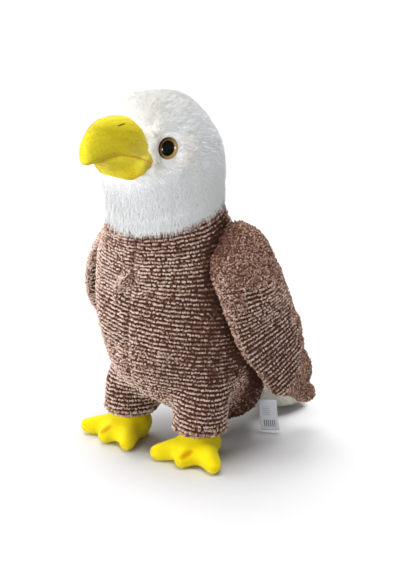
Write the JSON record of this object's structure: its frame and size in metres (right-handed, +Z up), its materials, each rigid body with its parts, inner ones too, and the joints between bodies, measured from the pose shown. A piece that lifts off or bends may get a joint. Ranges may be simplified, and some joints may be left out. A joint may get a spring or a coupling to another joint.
{
  "type": "plush_bald_eagle_toy",
  "caption": "Standing plush toy bald eagle with a white head, brown ribbed body and wings, yellow beak and feet, plastic eyes and a sewn-in label.",
  "frame": {"origin": "on the floor, under the middle of the toy's box", "axes": "+Z up, -Y the way the toy faces, +X the toy's left"},
  "size_m": [0.1796, 0.2388, 0.2958],
  "materials": {
    "white_plush": "short white plush pile",
    "cream_plush": "short cream plush pile",
    "brown_boucle": "ribbed boucle pile, pale tips over dark brown",
    "yellow_velour": "matt yellow velour",
    "black_thread": "black embroidery thread",
    "eye_plastic": "glossy amber and black safety eye",
    "label_satin": "white satin label with plain dark bars"
  },
  "bodies": {
    "root": {"head": "white_plush", "neck": "white_plush", "trunk": "brown_boucle", "wing_left": "brown_boucle", "wing_right": "brown_boucle", "leg_left": "brown_boucle", "leg_right": "brown_boucle", "foot_left": "yellow_velour", "foot_right": "yellow_velour", "tail": "cream_plush", "beak_upper": "yellow_velour", "beak_lower": "yellow_velour", "nostril_left": "black_thread", "nostril_right": "black_thread", "eye_left": "eye_plastic", "eye_right": "eye_plastic", "label": "label_satin"}
  },
  "joints": []
}
